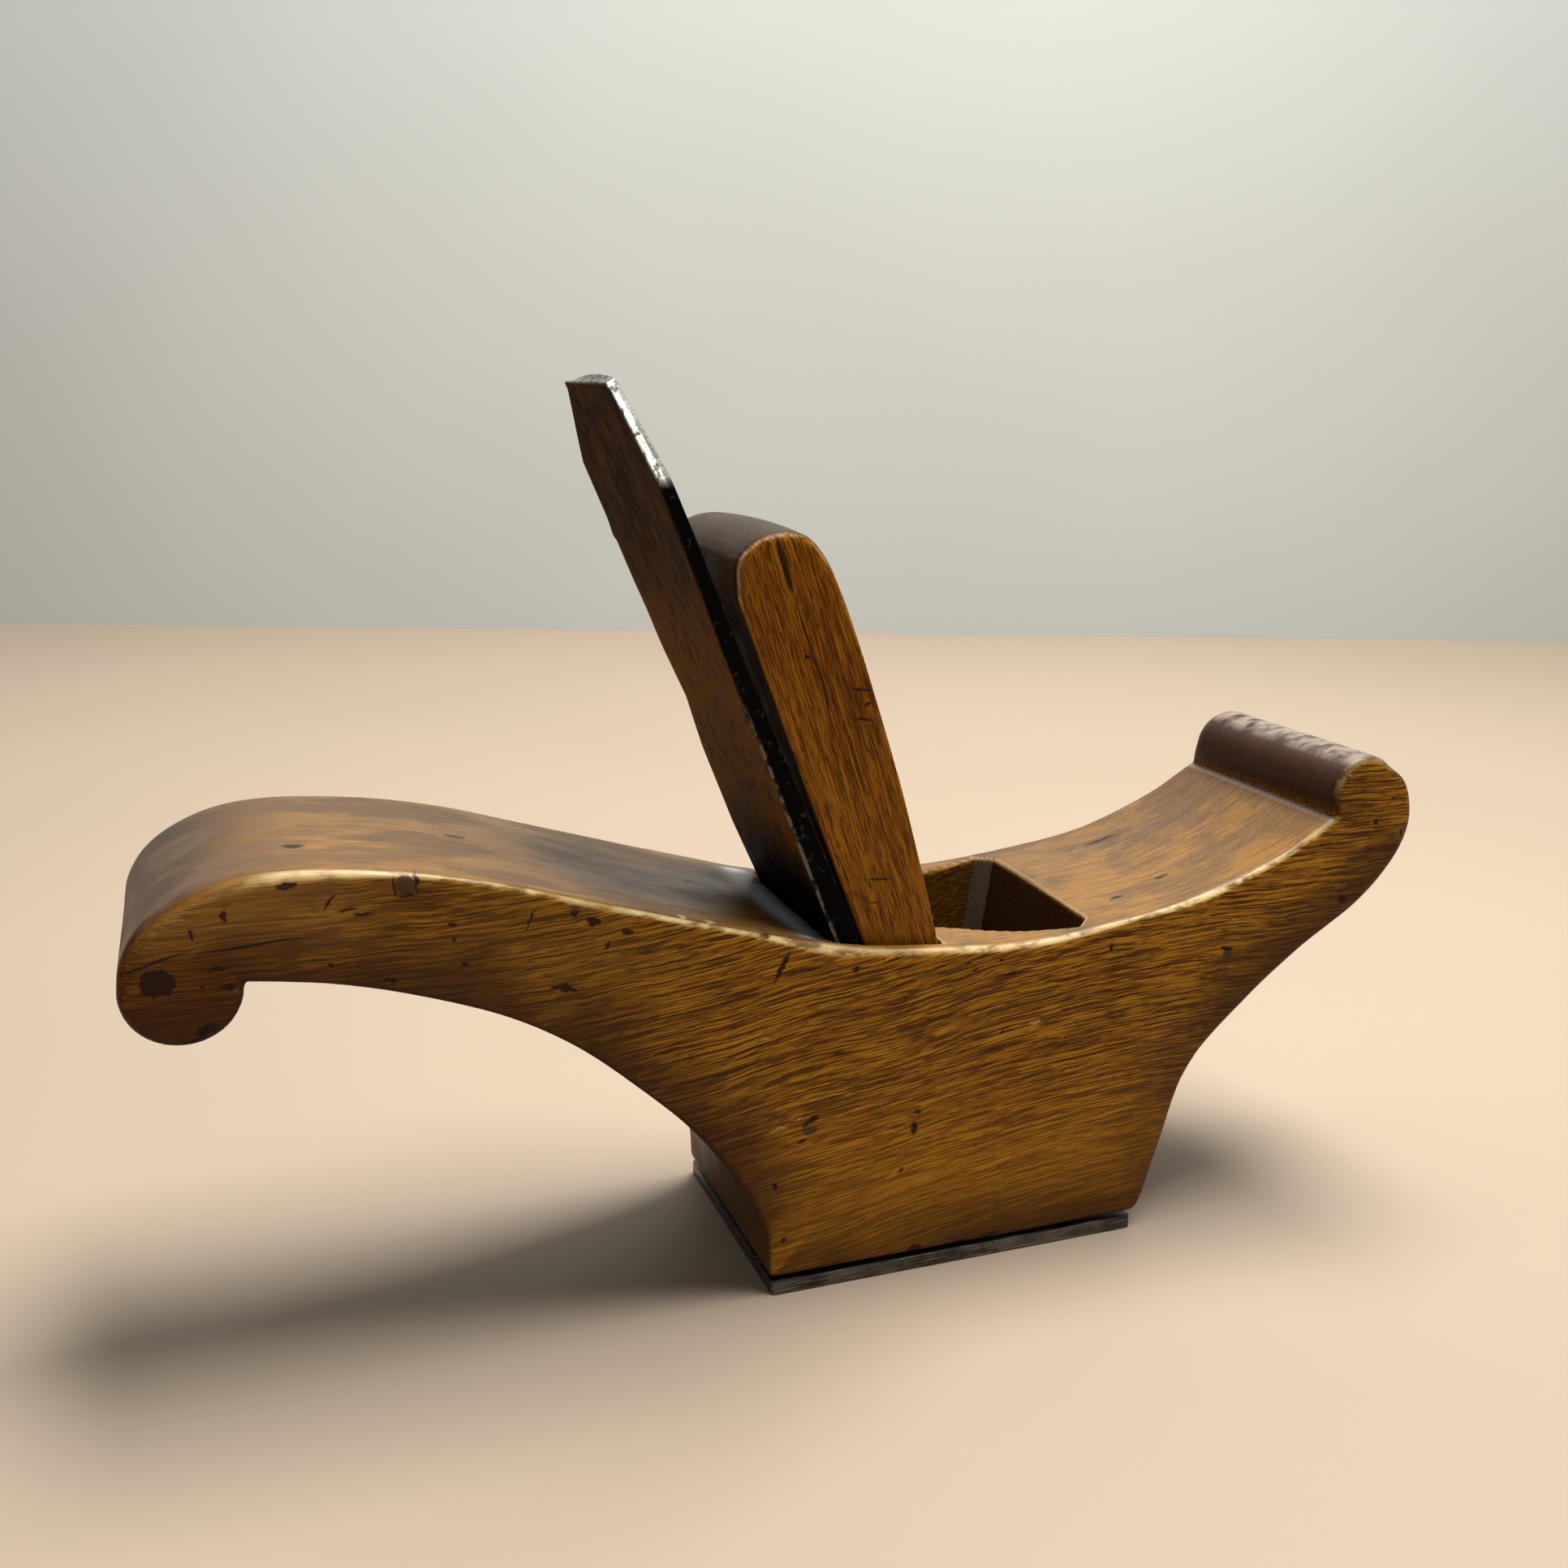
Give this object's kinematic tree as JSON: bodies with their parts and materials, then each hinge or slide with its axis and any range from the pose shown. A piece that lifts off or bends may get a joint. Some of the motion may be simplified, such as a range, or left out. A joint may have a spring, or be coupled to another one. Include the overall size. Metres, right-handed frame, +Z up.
{
  "type": "hand plane",
  "caption": "Wooden coachmaker's hand plane with a scrolled tail grip, a raised toe horn, a wedged single iron in an open throat and a screwed steel sole plate.",
  "frame": {"origin": "centre of the flat lower face of the sole", "axes": "+X along the stock to the toe, +Y across the stock, +Z up from the sole"},
  "size_m": [0.2415, 0.0506, 0.1644],
  "materials": {
    "beech_stock": "old oiled beech, polished by hands, golden brown with dark flecks and worn, paler arrises",
    "beech_wedge": "oiled beech, satin, darker and greyer on its struck top",
    "patinated_iron": "dark brown patina with fine streaks, black near the stock, bright where hammered",
    "sole_steel": "worn dark steel with bright rubbed edges",
    "screw_steel": "worn steel, filed flush"
  },
  "bodies": {
    "stock": {"body": "beech_stock", "sole_plate": "sole_steel", "sole_screw_1": "screw_steel", "sole_screw_2": "screw_steel", "sole_screw_3": "screw_steel", "sole_screw_4": "screw_steel", "sole_screw_5": "screw_steel", "sole_screw_6": "screw_steel"},
    "iron": {"iron": "patinated_iron"},
    "wedge": {"wedge": "beech_wedge"}
  },
  "joints": [
    {"name": "iron_slide", "type": "slide", "parent": "stock", "child": "iron", "axis": [-0.3694, 0, 0.9293], "range_m": [-0.001, 0.085]},
    {"name": "wedge_slide", "type": "slide", "parent": "iron", "child": "wedge", "axis": [-0.3919, 0, 0.92], "range_m": [0, 0.08]}
  ]
}
